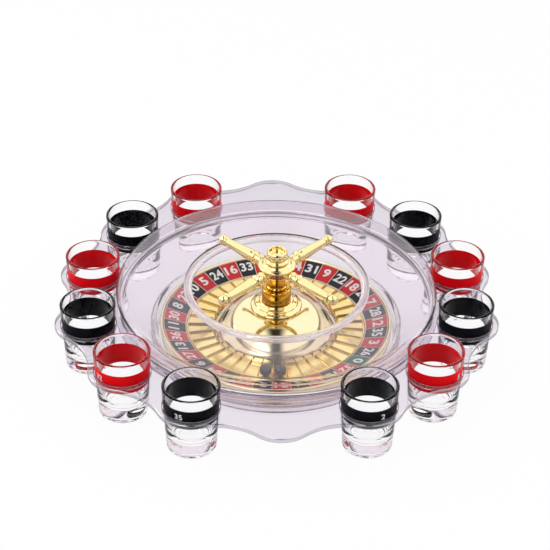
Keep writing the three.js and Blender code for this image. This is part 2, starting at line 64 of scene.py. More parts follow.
def set_camera():
    """The camera looks along -back; right and up are turned by the roll about that line."""
    level = math.cos(EYE_ELEVATION)
    along, across = math.cos(EYE_AZIMUTH) * level, math.sin(EYE_AZIMUTH) * level
    back = Vector((across, -along, math.sin(EYE_ELEVATION)))
    right = (-back).cross(Vector((0, 0, 1))).normalized()
    up = right.cross(-back)
    c, s = math.cos(EYE_ROLL), math.sin(EYE_ROLL)
    columns = (right * c + up * s, up * c - right * s, back)
    data = bpy.data.cameras.new("camera")
    data.lens, data.sensor_width = LENS, SENSOR
    data.clip_end = FARTHEST_SEEN
    camera = bpy.data.objects.new("camera", data)
    turned = Matrix(columns).transposed().to_4x4()
    camera.matrix_world = Matrix.Translation(LOOK_AT + back * EYE_DISTANCE) @ turned
    bpy.context.scene.collection.objects.link(camera)
    bpy.context.scene.camera = camera


set_camera()


# ---- shader sums: a wrapped socket, so that patterns are written as expressions ----
# Patterns are worked out from the point on the piece, so that they hold still as it moves.


class Sum:
    """A number in a node tree. The signs + - * / and **, abs and either add Math nodes to it."""

    def __init__(self, maker, socket):
        self.maker, self.socket = maker, socket

    def _math(self, operation, a, b):
        return self.maker.node("Math", {"operation": operation}, {0: a, 1: b}).out()

    def __add__(self, other):
        return self._math("ADD", self, other)

    def __pow__(self, other):
        return self._math("POWER", self, other)

    def __abs__(self):
        return self._math("ABSOLUTE", self, 0.0)

    def either(self, other):
        """The greater of two numbers: with masks, where one or the other holds."""
        return self._math("MAXIMUM", self, other)

    def __sub__(self, other):
        return self._math("SUBTRACT", self, other)

    def __rsub__(self, other):
        return self._math("SUBTRACT", other, self)

    def __mul__(self, other):
        return self._math("MULTIPLY", self, other)

    def __truediv__(self, other):
        return self._math("DIVIDE", self, other)

    __radd__, __rmul__ = __add__, __mul__


class Made:
    """A node that was made; out gives one of its outputs, wrapped."""

    def __init__(self, maker, node):
        self.maker, self.raw = maker, node

    def out(self, name=0):
        return Sum(self.maker, self.raw.outputs[name])


class Finish:
    """A material, or the world, under construction."""

    def __init__(self, name, owner=None, output="ShaderNodeOutputMaterial"):
        self.material = owner or bpy.data.materials.new(name)
        self.material.use_nodes = True
        self.tree = self.material.node_tree
        self.tree.nodes.clear()
        self.output = self.tree.nodes.new(output)

    def node(self, kind, settings=None, inputs=None):
        """Adds a node: its settings first, then a value or a link for each named socket. The
        setting stops gives a colour ramp its (place, colour) pairs, with a smooth run between."""
        made = self.tree.nodes.new("ShaderNode" + kind)
        for key, value in (settings or {}).items():
            if key == "stops":
                ramp = made.color_ramp
                ramp.interpolation = "EASE"
                while len(ramp.elements) < len(value):
                    ramp.elements.new(0.5)
                for element, (place, colour) in zip(ramp.elements, value):
                    element.position, element.color = place, (*colour, 1)
            else:
                setattr(made, key, value)
        for key, value in (inputs or {}).items():
            self.feed(made.inputs[key], value)
        return Made(self, made)

    def feed(self, socket, value):
        """Links a Sum to the socket, or sets the socket to a number, a colour or a vector."""
        if isinstance(value, Sum):
            self.tree.links.new(value.socket, socket)
        elif isinstance(value, tuple) and len(value) == 3 and socket.type == "RGBA":
            socket.default_value = (*value, 1)
        else:
            socket.default_value = value

    def place(self):
        """The point on the piece, in metres."""
        return self.node("TexCoord").out("Object")

    def noise(self, scale, detail=2.0, stretch=(1, 1, 1)):
        """Smooth noise from 0 to 1 on the point, with about scale spots to the metre; a stretch above
        1 along an axis makes the spots shorter that way."""
        where = self.node("Mapping", {}, {"Vector": self.place(), "Scale": stretch}).out()
        return self.node("TexNoise", {}, {"Vector": where, "Scale": scale, "Detail": detail}).out("Fac")

    def ramp(self, value, stops):
        """Colour read off a ramp, smooth between its stops, at a value from 0 to 1."""
        return self.node("ValToRGB", {"stops": stops}, {0: value}).out("Color")

    def mask(self, value, start, end):
        """0 up to start, 1 from end on, and a smooth rise between them."""
        return self.ramp(value, [(start, (0.0, 0.0, 0.0)), (end, (1.0, 1.0, 1.0))])

    def tint(self, mask, low, high):
        """Colour that runs from low to high as mask runs from 0 to 1."""
        factor, first, second, result = 0, 6, 7, 2  # where the colour sockets are on this node
        mixed = self.node("Mix", {"data_type": "RGBA"}, {factor: mask, first: low, second: high})
        return mixed.out(result)

    def bump(self, height, strength, distance=0.0002):
        """Surface normal of a relief: a height of 1 stands distance, in metres, above 0."""
        inputs = {"Height": height, "Strength": strength, "Distance": distance}
        return self.node("Bump", {}, inputs).out("Normal")

    def blend(self, factor, first, second):
        """A shader that runs from the first to the second as factor runs from 0 to 1."""
        return self.node("MixShader", {}, {0: factor, 1: first, 2: second}).out()

    def see_through(self, colour):
        """Lets light straight through, with a cast of colour."""
        return self.node("BsdfTransparent", {}, {"Color": colour}).out()

    def principled(self, **sockets):
        """Principled shader; a socket's name is written with _ for its spaces."""
        named = {key.replace("_", " "): value for key, value in sockets.items()}
        return self.node("BsdfPrincipled", {}, named).out()

    def done(self, shader):
        """Joins the finished shader to the output."""
        self.tree.links.new(shader.socket, self.output.inputs["Surface"])
        return self.material


# ---- light and table: a white table-top under three soft boxes and two narrow lamps ----
# Polished pieces mirror a room of white screens instead of the boxes. The dark gap between the
# screens draws the dark line down the front of the gold dome; the narrow lamps streak the cover.

LAMPS_AIM = Vector((0, 0, 0.03))


def soft_box(name, place, width, height, power, mirrored=False):
    """A rectangular lamp that faces LAMPS_AIM. Mirrors show only the narrow ones, and glass shows
    none, because the world's screens stand for the lamps there."""
    lamp = bpy.data.lights.new(name, "AREA")
    lamp.shape, lamp.size, lamp.size_y, lamp.energy = "RECTANGLE", width, height, power
    box = bpy.data.objects.new(name, lamp)
    facing = (LAMPS_AIM - Vector(place)).to_track_quat("-Z", "Y").to_matrix().to_4x4()
    box.matrix_world = Matrix.Translation(place) @ facing
    box.visible_glossy = mirrored
    box.visible_transmission = False
    bpy.context.scene.collection.objects.link(box)


soft_box("soft_box_left", (-0.95, -0.55, 0.75), 0.9, 0.8, 3.4)
soft_box("soft_box_right", (0.95, -0.55, 0.75), 0.9, 0.8, 3.0)
soft_box("soft_box_top", (0, 0.35, 1.2), 1.2, 0.8, 3.0)
soft_box("glare_left", (-1.05, 0.34, 0.55), 0.34, 0.46, 2.2, mirrored=True)
soft_box("glare_right", (1.10, 0.46, 0.60), 0.22, 0.34, 0.9, mirrored=True)

ROOM = [(0.0, (0.50, 0.50, 0.52)), (0.45, (0.68, 0.68, 0.70)), (1.0, (0.74, 0.74, 0.76))]
HORIZON, SCREEN = (0.42, 0.40, 0.43), (1.24, 1.23, 1.20)
PLAYER_SIDE = (0.40, 0.39, 0.40)
GAP = (0.03, 0.025, 0.02)
KEY_LIGHT = (3.2, 3.2, 3.2)
KEY_DIRECTION = (-0.40, -0.56, 0.725)


def studio_world():
    """A soft grey room lights the table. What shines, or is seen through glass, meets instead white
    screens above a grey horizon, greyer on the player's side, with a dark gap between left and
    right that ends behind the wheel, and one small key light. What is looked at directly is white."""
    world = bpy.data.worlds.new("studio")
    bpy.context.scene.world = world
    finish = Finish("studio", world, "ShaderNodeOutputWorld")
    direction = finish.node("TexCoord").out("Generated")
    axes = finish.node("SeparateXYZ", {}, {0: direction})
    across, away, height = abs(axes.out("X")), axes.out("Y"), axes.out("Z")
    room = finish.ramp(height, ROOM)
    sides = finish.mask(across, 0.05, 0.24)
    behind = finish.mask(away, 0.22, 0.50)
    screens = finish.tint(finish.mask(height, 0.04, 0.34), HORIZON, SCREEN)
    screens = finish.tint(finish.mask(0.0 - away, 0.50, 0.78), screens, PLAYER_SIDE)
    shining = finish.tint(sides, finish.tint(behind, GAP, screens), screens)
    dot = finish.node("VectorMath", {"operation": "DOT_PRODUCT"}, {0: direction, 1: KEY_DIRECTION})
    shining = finish.tint(finish.mask(dot.out("Value"), 0.952, 0.985), shining, KEY_LIGHT)
    path = finish.node("LightPath")
    bent = path.out("Is Glossy Ray").either(path.out("Is Transmission Ray"))
    colour = finish.tint(bent, room, shining)
    colour = finish.tint(path.out("Is Camera Ray"), colour, (1, 1, 1))
    finish.done(finish.node("Background", {}, {"Color": colour, "Strength": 1.0}).out())


studio_world()

TABLE_HALF = 4.0
TABLE_GLOW = 0.93  # how much of the table is seen as plain white; the rest takes the shadows
TABLE_DROP = 0.0002  # how far it lies below the pieces that stand on it


def table_top():
    """A flat white square, wide enough that its edge is never seen."""
    half = TABLE_HALF
    corners = [(-half, -half, 0), (half, -half, 0), (half, half, 0), (-half, half, 0)]
    mesh = bpy.data.meshes.new("table_top")
    mesh.from_pydata(corners, [], [(0, 1, 2, 3)])
    table = bpy.data.objects.new("table_top", mesh)
    bpy.context.scene.collection.objects.link(table)
    finish = Finish("table_white")
    lit = finish.node("BsdfDiffuse", {}, {"Color": (0.88, 0.88, 0.88)}).out()
    glow = finish.node("Emission", {}, {"Color": (1, 1, 1), "Strength": 1.0}).out()
    path = finish.node("LightPath")
    seen = path.out("Is Camera Ray").either(path.out("Is Transmission Ray"))
    mesh.materials.append(finish.done(finish.blend(seen * TABLE_GLOW, lit, glow)))
    table.location.z = -TABLE_DROP


table_top()


# ---- tray: one flat plate of clear acrylic, cut to fourteen scallops ----
# Twelve lobes hold a glass in a round hole and two are left plain as grips. The edge and the
# holes are polished round, so they catch the light as bright double lines, and painted shade darkens them
# along their rounding.

PLACES = 14
PLACE_STEP = 2 * math.pi / PLACES
PLACE_RING = WHEEL_PLACES_RADIUS / MM
GRIPS = (0, 7)
tray_low, tray_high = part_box("tray")
TRAY_TOP = tray_high.z / MM
TRAY_BOTTOM = tray_low.z / MM
LOBE_RADIUS = tray_high.y / MM - PLACE_RING
VALLEY_FILLET = 38.3
GLASS_HOLE = 18.0
TRAY_HOLE = 105.0
EDGE_ROUND = 0.8
LOBE_STEPS, VALLEY_STEPS = 18, 9


def link(name, mesh):
    """Puts a mesh or a curve in the scene as an object of that name."""
    piece = bpy.data.objects.new(name, mesh)
    bpy.context.scene.collection.objects.link(piece)
    return piece


def place_angle(place):
    """Places are counted anticlockwise from the one in front of the player."""
    return -math.pi / 2 + place * PLACE_STEP


def arc(distance, bearing, radius, start, end, steps):
    """Points of an arc, from one angle up to but not including the other. Its middle is at that
    distance and bearing from the wheel's axis."""
    t = start + (end - start) * np.arange(steps) / steps
    x, y = distance * math.cos(bearing), distance * math.sin(bearing)
    return np.stack([x + radius * np.cos(t), y + radius * np.sin(t)], 1)


def tray_outline():
    """Lobe arcs round each place, joined by hollow arcs that touch both neighbours. The middle of
    a hollow is LOBE_RADIUS + VALLEY_FILLET from the middles of the lobes beside it."""
    half = PLACE_STEP / 2
    reach = LOBE_RADIUS + VALLEY_FILLET
    valley_ring = PLACE_RING * math.cos(half) + math.sqrt(reach**2 - (PLACE_RING * math.sin(half)) ** 2)
    swing = math.atan2(valley_ring * math.sin(half), valley_ring * math.cos(half) - PLACE_RING)
    parts = []
    for place in range(PLACES):
        a = place_angle(place)
        parts.append(arc(PLACE_RING, a, LOBE_RADIUS, a - swing, a + swing, LOBE_STEPS))
        start = a + swing + math.pi
        end = start + 2 * (half - swing)
        parts.append(arc(valley_ring, a + half, VALLEY_FILLET, start, end, VALLEY_STEPS))
    return np.concatenate(parts)


def filled(curve):
    """The mesh that a filled curve or a text makes. The curve's own object is taken away again."""
    maker = link(curve.name, curve)
    bpy.context.view_layer.update()
    scene_now = bpy.context.evaluated_depsgraph_get()
    mesh = bpy.data.meshes.new_from_object(maker.evaluated_get(scene_now))
    bpy.data.objects.remove(maker)
    return mesh


def flat_plate(name, loops, bottom, top, rounding):
    """A plate between two heights, filled inside the first loop and outside the others, with
    its edges rounded inwards so that the outline keeps its size."""
    curve = bpy.data.curves.new(name, "CURVE")
    curve.dimensions, curve.fill_mode = "2D", "BOTH"
    curve.bevel_depth, curve.bevel_resolution = rounding, 3
    curve.extrude = (top - bottom) / 2 - rounding
    curve.offset = -rounding
    for points in loops:
        spline = curve.splines.new("POLY")
        spline.points.add(len(points) - 1)
        spline.points.foreach_set("co", np.pad(points, ((0, 0), (0, 2))).ravel())
        spline.use_cyclic_u = True
    mesh = filled(curve)
    mesh.transform(Matrix.Translation((0, 0, (top + bottom) / 2)))
    mesh.transform(Matrix.Scale(MM, 4))
    return link(name, mesh)


def clean(piece, distance=1e-6):
    """Joins doubled points and turns the faces outwards."""
    work = bmesh.new()
    work.from_mesh(piece.data)
    bmesh.ops.remove_doubles(work, verts=work.verts, dist=distance)
    bmesh.ops.recalc_face_normals(work, faces=work.faces)
    work.to_mesh(piece.data)
    work.free()


def clear_plastic(name, tint, rim, wall, corner, glint):
    """Thin polished plastic, which bends light too little to see. Each face lets light through with
    a cast of tint, and of rim edge-on, and by the shares wall and corner where it stands upright or
    rounds a corner. The rim cast is painted shade for the dark lines that bent light draws in the
    solid edges, over the little that the longer way through darkens. It mirrors as 0.85
    (1 - cos)^5 over a base of 5 %, and by the share glint on the rounded corners."""
    finish = Finish(name)
    ripple = finish.bump(finish.noise(28, 1.0), 0.12, 0.0004)
    edge_on = finish.node("LayerWeight", {}, {"Blend": 0.5}).out("Facing")
    normal = finish.node("TexCoord").out("Normal")
    level = abs(finish.node("SeparateXYZ", {}, {0: normal}).out("Z"))
    turning = level * (1 - level) * 4
    # painted shade: the dark rim cast grows edge-on, on upright faces and on rounded corners, in place of
    # bent light
    painted_edge_shade = edge_on**2.6 + (1 - level) * wall + turning * corner
    body = finish.blend(painted_edge_shade, finish.see_through(tint), finish.see_through(rim))
    smear = finish.noise(60, 3.0) * 0.04 + 0.03
    polish = {"Color": (1, 1, 1), "Roughness": smear, "Normal": ripple}
    mirror = edge_on**5 * 0.85 + turning * glint + 0.05
    return finish.done(finish.blend(mirror, body, finish.node("BsdfGlossy", {}, polish).out()))


tray_acrylic = clear_plastic(
    "tray_acrylic", (0.945, 0.918, 0.953), (0.25, 0.20, 0.28), wall=0.25, corner=0.6, glint=0.35
)


def make_tray():
    """The outline runs anticlockwise and every hole clockwise."""
    loops = [tray_outline(), arc(0, 0, TRAY_HOLE, 2 * math.pi, 0, 160)]
    for place in range(PLACES):
        if place not in GRIPS:
            loops.append(arc(PLACE_RING, place_angle(place), GLASS_HOLE, 2 * math.pi, 0, 56))
    tray = flat_plate("scalloped_tray", loops, TRAY_BOTTOM, TRAY_TOP, EDGE_ROUND)
    clean(tray)
    tray.data.materials.append(tray_acrylic)
    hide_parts("tray")
    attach(tray, "base")


make_tray()


# ---- bowl: a clear moulding with foot ring, well, sloping ball track, ledge and collar ----
# It stands on the table and carries all but the glasses; the tray drops over its collar.


def wrapped_faces(rows, columns):
    """Four-sided faces of a grid of points whose last column joins its first."""
    i, j = np.meshgrid(np.arange(rows - 1), np.arange(columns), indexing="ij")
    k = (j + 1) % columns
    low, high = i * columns, (i + 1) * columns
    return np.stack([low + j, low + k, high + k, high + j], -1).reshape(-1, 4).tolist()


def rounded(profile, steps=5):
    """Outline through (radius, height, corner) points, each corner a quadratic curve that leaves
    the straight sides at the corner's size before and after the point. Points on the axis stay."""
    points = np.array([(r, z) for r, z, *_ in profile], float)
    corners = [p[2] if len(p) > 2 else 0.0 for p in profile]
    closed = points[0, 0] > 1e-6
    count = len(points)
    path = []
    for i, (point, corner) in enumerate(zip(points, corners)):
        before, after = points[i - 1], points[(i + 1) % count]
        if corner <= 0 or (not closed and i in (0, count - 1)):
            path.append(point[None])
            continue
        a, b = before - point, after - point
        start = point + a * min(0.5, corner / np.linalg.norm(a))
        end = point + b * min(0.5, corner / np.linalg.norm(b))
        t = np.linspace(0, 1, steps)[:, None]
        path.append((1 - t) ** 2 * start + 2 * t * (1 - t) * point + t**2 * end)
    path = np.concatenate(path)
    if closed:
        path = np.concatenate([path, path[:1]])
    return path


def revolved(name, path, sides=144, smooth_angle=35):
    """Turns a path of (radius, height) in millimetres about +Z: a point is (r cos u, r sin u, z)
    for sides values of u. The path runs anticlockwise in the (r, z) plane; ends on the axis close
    as fans and a path that ends where it starts closes on itself."""
    path = np.asarray(path, float)
    u = 2 * np.pi * np.arange(sides) / sides
    keep = np.concatenate([[True], np.linalg.norm(np.diff(path, axis=0), axis=1) > 1e-5])
    path = path[keep]
    r, z = path[:, :1], path[:, 1:]
    grid = np.stack([r * np.cos(u), r * np.sin(u), z * np.ones_like(u)], 2)
    mesh = bpy.data.meshes.new(name)
    mesh.from_pydata(grid.reshape(-1, 3) * MM, [], wrapped_faces(len(path), sides))
    piece = link(name, mesh)
    clean(piece, 1e-7)
    mesh.shade_smooth()
    mesh.set_sharp_from_angle(angle=math.radians(smooth_angle))
    return piece


def lit_through(finish, body, cast):
    """Lamps shine straight through the piece, with a cast; all else meets its body."""
    shadow = finish.node("LightPath").out("Is Shadow Ray")
    return finish.done(finish.blend(shadow, body, finish.see_through(cast)))


def thick_clear(name, tint, ior, clearness, shine=1.0):
    """Solid clear plastic, thick enough to bend what is seen through it."""
    finish = Finish(name)
    ripple = finish.bump(finish.noise(40, 1.0), 0.08, 0.0003)
    smear = finish.noise(60, 3.0) * 0.02 + 0.01
    body = finish.principled(
        Base_Color=tint, Roughness=smear, IOR=ior, Transmission_Weight=clearness,
        Specular_Tint=(shine, shine, shine), Normal=ripple,
    )
    return lit_through(finish, body, (0.92, 0.90, 0.93))


SEAT_GAP = 0.3  # between pieces that rest on each other
BORE = 3.4  # round the spindle
FLOOR_LOW, FLOOR_TOP, BOSS_TOP = 2.0, 4.0, 7.6
WELL_RADIUS, FOOT_RADIUS = 80.8, 84.2
TRACK_FOOT, TRACK_HEAD = 14.9, 30.4
LEDGE_LOW = 25.9
LEDGE_TOP = TRAY_BOTTOM - SEAT_GAP
LEDGE_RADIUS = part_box("bowl")[1].x / MM
COVER_OVERHANG = 2.2  # from the outside of the collar to the outside of the cover
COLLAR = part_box("cover")[1].x / MM - COVER_OVERHANG
COLLAR_TOP = TRAY_TOP - 0.1


def make_bowl():
    """From the bore outwards under the floor, up the outside, and back down the track and well."""
    path = rounded([
        (BORE, FLOOR_LOW), (79.6, FLOOR_LOW, 0.4), (WELL_RADIUS, 0.0, 0.3), (FOOT_RADIUS, 0.0, 0.6),
        (FOOT_RADIUS, 13.4, 1.5), (93.9, 20.4, 4.0), (COLLAR - 0.4, LEDGE_LOW, 0.8),
        (LEDGE_RADIUS, LEDGE_LOW, 0.7), (LEDGE_RADIUS, LEDGE_TOP, 0.7), (COLLAR, LEDGE_TOP, 0.3),
        (COLLAR, COLLAR_TOP, 0.6), (COLLAR - 1.4, COLLAR_TOP, 0.6), (COLLAR - 2.6, TRACK_HEAD, 0.8),
        (91.9, 21.9, 4.0), (81.8, TRACK_FOOT, 0.8), (WELL_RADIUS, 13.3, 0.6),
        (80.2, FLOOR_TOP, 1.2), (8.2, FLOOR_TOP, 0.6), (7.7, BOSS_TOP, 0.4), (BORE, BOSS_TOP, 0.2),
    ])
    bowl = revolved("ball_track_bowl", path, 192)
    bowl.data.materials.append(thick_clear("bowl_acrylic", (0.845, 0.800, 0.853), 1.42, 0.98))
    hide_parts("bowl")
    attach(bowl, "base")


make_bowl()


# ---- cover: a ring-shaped clear dome with a rolled bead round its opening ----
# It keeps the ball on the track; the turret stands out through the opening. The wall is thin
# enough that the balls and the numbers show unbroken through the shoulder.

COVER_RADIUS = 106.8
COVER_TOP = 43.0
SHOULDER_WIDTH, SHOULDER_HEIGHT = 3.2, 3.4
SHELL = 1.5
BEAD_RING = 59.2  # circle on which the middle of the bead's section lies
BEAD = 2.8
BEAD_LAP = 0.3  # how far the flat top runs into the bead


def make_cover():
    """Upright skirt, a shoulder that is a quarter of an ellipse, and a flat top; the inner face lies
    SHELL inside the outer one along its normal, so that the wall is even."""
    foot = TRAY_TOP + SEAT_GAP
    inside_foot = (COVER_RADIUS - SHELL, foot)
    t = np.radians(np.linspace(0, 90, 19))
    size = np.array([SHOULDER_WIDTH, SHOULDER_HEIGHT])
    circle = np.stack([np.cos(t), np.sin(t)], 1)
    outer = (COVER_RADIUS, COVER_TOP) - size + size * circle
    normal = circle / size
    inner = outer - SHELL * normal / np.linalg.norm(normal, axis=1, keepdims=True)
    rim = BEAD_RING + BEAD - BEAD_LAP
    path = np.concatenate([
        [inside_foot, (COVER_RADIUS, foot)], outer,
        [(rim, COVER_TOP), (rim, COVER_TOP - SHELL)], inner[::-1], [inside_foot],
    ])
    cover = revolved("clear_cover", path, 192)
    cover.data.materials.append(thick_clear("cover_acrylic", (0.90, 0.862, 0.908), 1.42, 0.98, 0.5))
    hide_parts("cover")
    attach(cover, "base")


def make_bead():
    """A ring of round section: a circle of radius BEAD that touches the height of the cover's top,
    turned about +Z."""
    t = np.linspace(0, 2 * np.pi, 41)
    section = np.stack([np.cos(t), np.sin(t)], 1) * BEAD + (BEAD_RING, COVER_TOP - BEAD)
    section[-1] = section[0]
    bead = revolved("opening_bead", section, 192)
    bead.data.materials.append(thick_clear("bead_acrylic", (0.95, 0.925, 0.96), 1.45, 0.78))
    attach(bead, "base")


make_cover()
make_bead()


# ---- rotor: gold-plated plastic disc with a raised rim, on the spindle ----
# Vacuum plating is a thin mirror over moulded plastic, so it is smooth with a slight ripple.

ROTOR_YAW = math.radians(-3.2)
POCKETS = 37
POCKET_STEP = 2 * math.pi / POCKETS
RING_SIDES = 4 * POCKETS
ROTOR_RADIUS = 78.1
ROTOR_LOW, ROTOR_FLOOR, ROTOR_RIM_TOP = 5.4, 7.0, 14.0
HUB_BORE, HUB_RADIUS, HUB_TOP = 5.9, 9.0, 29.4
RING_OUTER, RING_OUTER_TOP = 75.7, 13.3
RING_INNER, RING_INNER_TOP = 60.5, 8.9


def plated(name, pale, deep, roughness=0.09, ripple=0.06):
    """Gold plating whose colour drifts between two tones, with fine wipe marks in its polish."""
    finish = Finish(name)
    colour = finish.tint(finish.noise(35, 2.0), pale, deep)
    wiped = finish.noise(240, 3.0) * 0.06 + (roughness - 0.03)
    relief = finish.bump(finish.noise(45, 2.0), ripple, 0.0003)
    return finish.done(finish.principled(Base_Color=colour, Metallic=1.0, Roughness=wiped, Normal=relief))


pale_gold = plated("pale_gold_plating", (0.90, 0.80, 0.54), (0.87, 0.74, 0.46))
plate_gold = plated("plate_gold_plating", (0.95, 0.79, 0.37), (0.92, 0.72, 0.28), 0.12)
rich_gold = plated("rich_gold_plating", (0.93, 0.79, 0.44), (0.90, 0.73, 0.34), 0.07, 0.03)


def turned_piece(name, node, finish, profile, sides=144):
    """A piece of the wheel, turned from its profile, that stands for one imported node."""
    piece = revolved(name, rounded(profile), sides)
    piece.data.materials.append(finish)
    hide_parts(node)
    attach(piece, "wheel")


turned_piece("rotor_disc", "rotor_base", pale_gold, [
    (HUB_BORE, 9.0, 0.2), (10.4, 9.0, 0.3), (12.0, ROTOR_LOW, 0.4), (76.7, ROTOR_LOW, 0.4),
    (ROTOR_RADIUS, 6.8, 0.5), (ROTOR_RADIUS, 13.3, 0.4), (77.4, ROTOR_RIM_TOP, 0.5),
    (76.6, ROTOR_RIM_TOP, 0.3), (76.0, 13.3, 0.2), (76.0, 12.1, 0.2), (60.3, 7.7, 0.1),
    (60.1, ROTOR_FLOOR, 0.1), (12.6, ROTOR_FLOOR, 0.6), (HUB_RADIUS, 10.8, 1.0),
    (HUB_RADIUS, HUB_TOP, 0.4), (HUB_BORE, HUB_TOP, 0.3),
], RING_SIDES)


# ---- number ring: a printed strip with 37 cells and white numerals ----
# The cells are printed over a pale ground that shows as thin lines between them; the numbers
# run in the single-zero order, clockwise, with their heads outwards.

WHEEL_ORDER = (
    0, 32, 15, 19, 4, 21, 2, 25, 17, 34, 6, 27, 13, 36, 11, 30, 8, 23, 10,
    5, 24, 16, 33, 1, 20, 14, 31, 9, 22, 18, 29, 7, 28, 12, 35, 3, 26,
)
FRONT_LINE_AFTER = 5  # the line between the cells of 21 and 2 points to the player
STRIP_BACK, STRIP_FACE = 0.85, 0.02  # how far its two faces lie below the ring's own heights
LINE_WIDTH = 0.45
CELL_MARGIN = 0.5
INK = 0.04
DIGIT_HEIGHT = 7.3
WIDEST_NUMBER = 9.0
DIGIT_STRETCH = 1.12
SLOPE = (RING_OUTER_TOP - RING_INNER_TOP) / (RING_OUTER - RING_INNER)


def ring_height(r):
    """Height of the strip's printed face at a radius."""
    return RING_INNER_TOP + SLOPE * (r - RING_INNER)


def cell_middle(index):
    """Angle of the middle of a cell, by its place in the clockwise order."""
    front = -math.pi / 2 + ROTOR_YAW
    return front - (index - FRONT_LINE_AFTER - 0.5) * POCKET_STEP


def printed(name, colour):
    """Ink on a smooth strip: small changes of tone, a soft sheen and a faint tooth."""
    finish = Finish(name)
    shade = finish.tint(finish.noise(160, 3.0), colour, tuple(0.86 * c for c in colour))
    tooth = finish.bump(finish.noise(2200, 2.0), 0.12, 0.00003)
    return finish.done(finish.principled(
        Base_Color=shade, Roughness=0.32, Specular_IOR_Level=0.25, Normal=tooth
    ))


def ink_layer(name, points, faces, ink):
    """A thin printed layer: flat faces, given in millimetres, thickened towards what they lie on."""
    mesh = bpy.data.meshes.new(name)
    mesh.from_pydata(points * MM, [], faces)
    layer = link(name, mesh)
    solid = layer.modifiers.new("ink", "SOLIDIFY")
    solid.thickness, solid.offset = INK * MM, -1
    mesh.materials.append(ink)
    return layer


def patch_faces(rows, columns, start):
    """Four-sided faces of a grid of points whose first point has the number start."""
    i, j = np.meshgrid(np.arange(rows - 1), np.arange(columns - 1), indexing="ij")
    a = start + i * columns + j
    return np.stack([a, a + columns, a + columns + 1, a + 1], -1).reshape(-1, 4)


def make_cells(name, indices, ink):
    """Each cell is a patch of the sloping strip: its radius runs between the margins and its angle
    across one pocket less half a line on each side, and it is raised by the ink's thickness."""
    rows, columns = 4, 9
    r = np.linspace(RING_INNER + CELL_MARGIN, RING_OUTER - CELL_MARGIN, rows)[:, None]
    points, faces = [], []
    for n, index in enumerate(indices):
        half = POCKET_STEP / 2 - LINE_WIDTH / 2 / r
        u = cell_middle(index) + half * np.linspace(-1, 1, columns)[None]
        z = ring_height(r) + INK + 0 * u
        patch = np.stack([r * np.cos(u), r * np.sin(u), z], 2)
        points.append(patch.reshape(-1, 3))
        faces.append(patch_faces(rows, columns, n * rows * columns))
    cells = ink_layer(name, np.concatenate(points), np.concatenate(faces).tolist(), ink)
    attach(cells, "wheel")


strip_ground = printed("strip_ground", (0.85, 0.78, 0.66))
turned_piece("number_strip", "number_ring", strip_ground, [
    (RING_INNER, RING_INNER_TOP - STRIP_BACK, 0.1), (RING_OUTER, RING_OUTER_TOP - STRIP_BACK, 0.1),
    (RING_OUTER, RING_OUTER_TOP - STRIP_FACE, 0.2), (RING_INNER, RING_INNER_TOP - STRIP_FACE, 0.2),
], RING_SIDES)
make_cells("cells_red", range(1, POCKETS, 2), printed("ink_red", (0.62, 0.030, 0.035)))
make_cells("cells_black", range(2, POCKETS, 2), printed("ink_black", (0.020, 0.020, 0.026)))
make_cells("cell_zero", [0], printed("ink_green", (0.012, 0.13, 0.055)))


def numeral(text, height, bold):
    """Flat outline of a number, centred, as points and faces in millimetres."""
    curve = bpy.data.curves.new("numeral", "FONT")
    curve.body, curve.align_x, curve.align_y = text, "CENTER", "CENTER"
    curve.size, curve.offset, curve.resolution_u = 1.0, bold, 3
    mesh = filled(curve)
    points = np.array([v.co[:2] for v in mesh.vertices])
    faces = [list(p.vertices) for p in mesh.polygons]
    bpy.data.meshes.remove(mesh)
    low, high = points.min(0), points.max(0)
    points = (points - (low + high) / 2) * (height / (high[1] - low[1]))
    return points, faces


OVERPRINT = 0.05  # from the face of one layer of ink to the next
white_ink = printed("ink_white", (0.86, 0.85, 0.84))


def make_numerals():
    """Each number lies on its cell: across the cell is along the arc, and up is outwards."""
    middle = RING_INNER + 0.56 * (RING_OUTER - RING_INNER)
    points, faces, start = [], [], 0
    for index, number in enumerate(WHEEL_ORDER):
        flat, polygons = numeral(str(number), DIGIT_HEIGHT, 0.03)
        squeeze = min(DIGIT_STRETCH, WIDEST_NUMBER / np.ptp(flat[:, 0]))
        a = cell_middle(index)
        r = middle + flat[:, 1]
        side = flat[:, 0] * squeeze
        x = r * math.cos(a) + side * math.sin(a)
        y = r * math.sin(a) - side * math.cos(a)
        z = ring_height(r) + INK + OVERPRINT
        points.append(np.stack([x, y, z], 1))
        faces += [[v + start for v in p] for p in polygons]
        start += len(flat)
    digits = ink_layer("ring_numerals", np.concatenate(points), faces, white_ink)
    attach(digits, "wheel")


make_numerals()


# ---- fret ring: plated pocket plate with 37 thin upright frets and a raised outer lip ----
# Each fret parts two pockets; its top is rounded so the ball rolls off it.

FRET_INNER, FRET_OUTER = 42.9, 59.7
PLATE_LOW, PLATE_TOP, PLATE_LIP = 7.3, 8.3, 9.0
FRET_HEIGHT = 1.4
FRET_THICKNESS = 0.5
FRET_BEVEL = 0.3
FRET_BEVEL_DROP = 0.35
FRET_ROOT = 0.3  # how far a fret goes down into the plate
# Painted shade: the frets take a darker copy of the plate's gold, for the shadow and dark reflections on
# their thin sides.
fret_gold_painted_shade = plated("fret_plating_painted_shade", (0.62, 0.47, 0.24), (0.50, 0.36, 0.16), 0.3)


turned_piece("pocket_plate", "fret_ring", plate_gold, [
    (FRET_INNER, PLATE_LOW), (FRET_OUTER, PLATE_LOW, 0.1), (FRET_OUTER, PLATE_LIP, 0.2),
    (FRET_OUTER - 0.7, PLATE_LIP, 0.2), (FRET_OUTER - 0.9, PLATE_TOP + 0.05, 0.3),
    (FRET_INNER, PLATE_TOP, 0.1),
], RING_SIDES)


